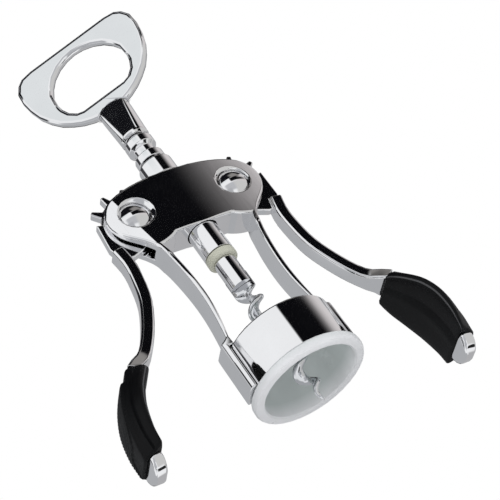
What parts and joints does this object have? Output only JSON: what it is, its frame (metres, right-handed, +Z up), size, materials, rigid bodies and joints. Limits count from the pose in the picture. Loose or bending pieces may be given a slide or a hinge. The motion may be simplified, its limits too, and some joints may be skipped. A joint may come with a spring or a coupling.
{
  "type": "wing corkscrew",
  "caption": "Wing corkscrew: geared levers on a ring rack, a frame with a bell for the bottle neck, a turning worm and a handle with a crown-cap hole.",
  "frame": {"origin": "middle of the bell's mouth, on the axis of the shaft", "axes": "+Z up the shaft towards the handle, +X towards the right wing, -Y towards the front"},
  "size_m": [0.1226, 0.0416, 0.1864],
  "materials": {
    "chrome": "polished",
    "worm": "polished",
    "rod": "turned",
    "rubber": "soft matt",
    "insert": "satin",
    "nylon": "satin"
  },
  "bodies": {
    "base": {"frame": "chrome", "bell_shell": "chrome", "bell_insert": "insert", "guide_collar": "chrome", "left_pivot_pin": "chrome", "right_pivot_pin": "chrome", "left_front_washer": "nylon", "left_back_washer": "nylon", "right_front_washer": "nylon", "right_back_washer": "nylon"},
    "left_wing": {"left_lever": "chrome", "left_grip": "rubber"},
    "right_wing": {"right_lever": "chrome", "right_grip": "rubber"},
    "rack": {"rack_sleeve": "chrome", "lower_bush": "nylon"},
    "screw": {"handle": "chrome", "spindle_rod": "rod", "worm_socket": "chrome", "worm": "worm"}
  },
  "joints": [
    {"name": "right_wing_hinge", "type": "hinge", "parent": "base", "child": "right_wing", "pos_m": [0.0197, 0, 0.0836], "axis": [0, -1, 0], "range_deg": [-17, 54]},
    {"name": "left_wing_hinge", "type": "hinge", "parent": "base", "child": "left_wing", "pos_m": [-0.0197, 0, 0.0836], "axis": [0, 1, 0], "range_deg": [-17, 54]},
    {"name": "rack_slide", "type": "slide", "parent": "base", "child": "rack", "axis": [0, 0, 1], "range_m": [-0.0132, 0.0042]},
    {"name": "screw_turn", "type": "hinge", "parent": "rack", "child": "screw", "pos_m": [0, 0, 0.1183], "axis": [0, 0, 1], "continuous": true}
  ],
  "couplings": [
    {"joint": "left_wing_hinge", "follows": "right_wing_hinge", "ratio": 1},
    {"joint": "rack_slide", "follows": "right_wing_hinge", "m_per_rad": -0.01385}
  ]
}
